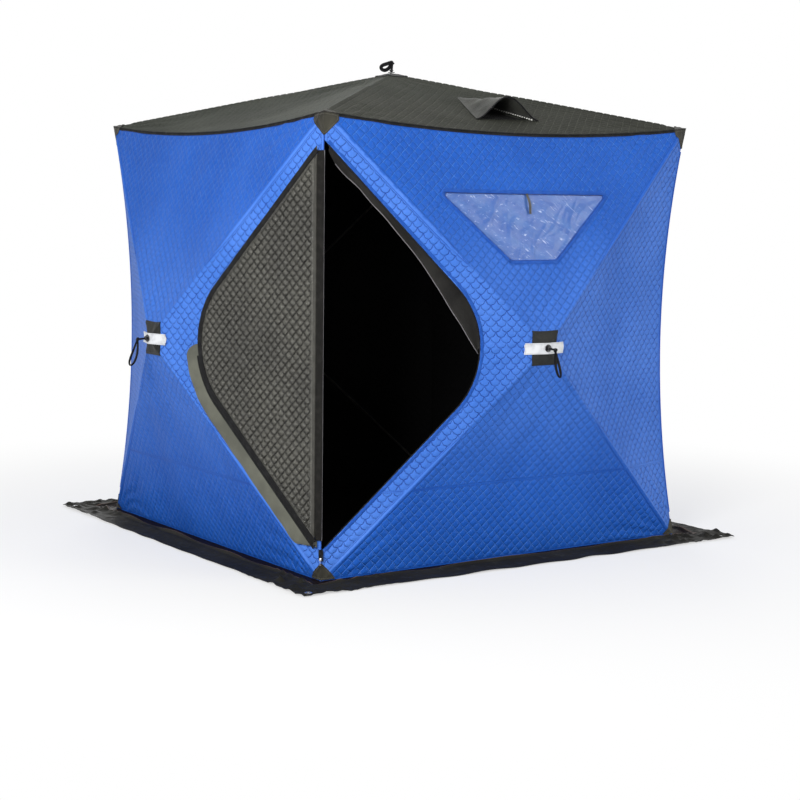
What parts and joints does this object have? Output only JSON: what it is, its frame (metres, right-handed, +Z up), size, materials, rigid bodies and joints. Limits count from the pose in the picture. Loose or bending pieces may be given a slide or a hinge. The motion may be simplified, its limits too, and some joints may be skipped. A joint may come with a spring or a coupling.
{
  "type": "ice fishing hut",
  "caption": "Square pop-up hut of quilted cloth on a hubbed pole frame, with a folded-back corner door, window, roof vent and snow skirt.",
  "frame": {"origin": "on the ground at the middle of the square of corner eyelets", "axes": "+Z up, -Y out of the wall with the doorway and window, -X out of the wall that the door leaf is folded back over"},
  "size_m": [2.5148, 2.4548, 2.0409],
  "materials": {
    "blue_cloth": "quilted, slight sheen",
    "roof_cloth": "quilted, dull",
    "lining_cloth": "quilted, dull",
    "black_cloth": "coated, slight gloss",
    "webbing": "woven strap",
    "pale_strip": "reflective, satin",
    "glass_fibre": "satin",
    "hub_plastic": "satin",
    "clear_film": "clear, wrinkled",
    "mesh": "open mesh",
    "bare_metal": "satin"
  },
  "bodies": {
    "tent": {"front_wall_upper": "blue_cloth", "front_wall_lower": "blue_cloth", "front_wall_above_door": "blue_cloth", "front_wall_below_door": "blue_cloth", "front_wall_side": "blue_cloth", "left_wall_upper": "blue_cloth", "left_wall_lower": "blue_cloth", "left_wall_door_side": "blue_cloth", "left_wall_far_side": "blue_cloth", "back_wall_upper": "blue_cloth", "back_wall_lower": "blue_cloth", "back_wall_left_side": "blue_cloth", "back_wall_right_side": "blue_cloth", "right_wall_upper": "blue_cloth", "right_wall_lower": "blue_cloth", "right_wall_near_side": "blue_cloth", "right_wall_far_side": "blue_cloth", "roof_front": "roof_cloth", "roof_left": "roof_cloth", "roof_back": "roof_cloth", "roof_right": "roof_cloth", "skirt_front": "black_cloth", "skirt_left": "black_cloth", "skirt_back": "black_cloth", "skirt_right": "black_cloth", "front_poles": "glass_fibre", "left_poles": "glass_fibre", "back_poles": "glass_fibre", "right_poles": "glass_fibre", "roof_poles": "glass_fibre", "wall_hubs": "hub_plastic", "roof_hub": "hub_plastic", "hub_patches": "black_cloth", "hub_strips": "pale_strip", "hub_bolts": "hub_plastic", "pull_loops": "webbing", "corner_patches": "black_cloth", "window_panes": "clear_film", "vent_hood": "roof_cloth", "vent_mesh": "mesh", "doorway_storm_flap": "roof_cloth", "door_fold_seam": "webbing", "skirt_eyelets": "bare_metal"},
    "leaf": {"door_leaf": "lining_cloth", "door_leaf_flap": "lining_cloth"}
  },
  "joints": [
    {"name": "door_fold", "type": "hinge", "parent": "tent", "child": "leaf", "pos_m": [-0.90707, -0.90707, 0.885], "axis": [0, 0, 1], "range_deg": [0, 240.2]}
  ]
}
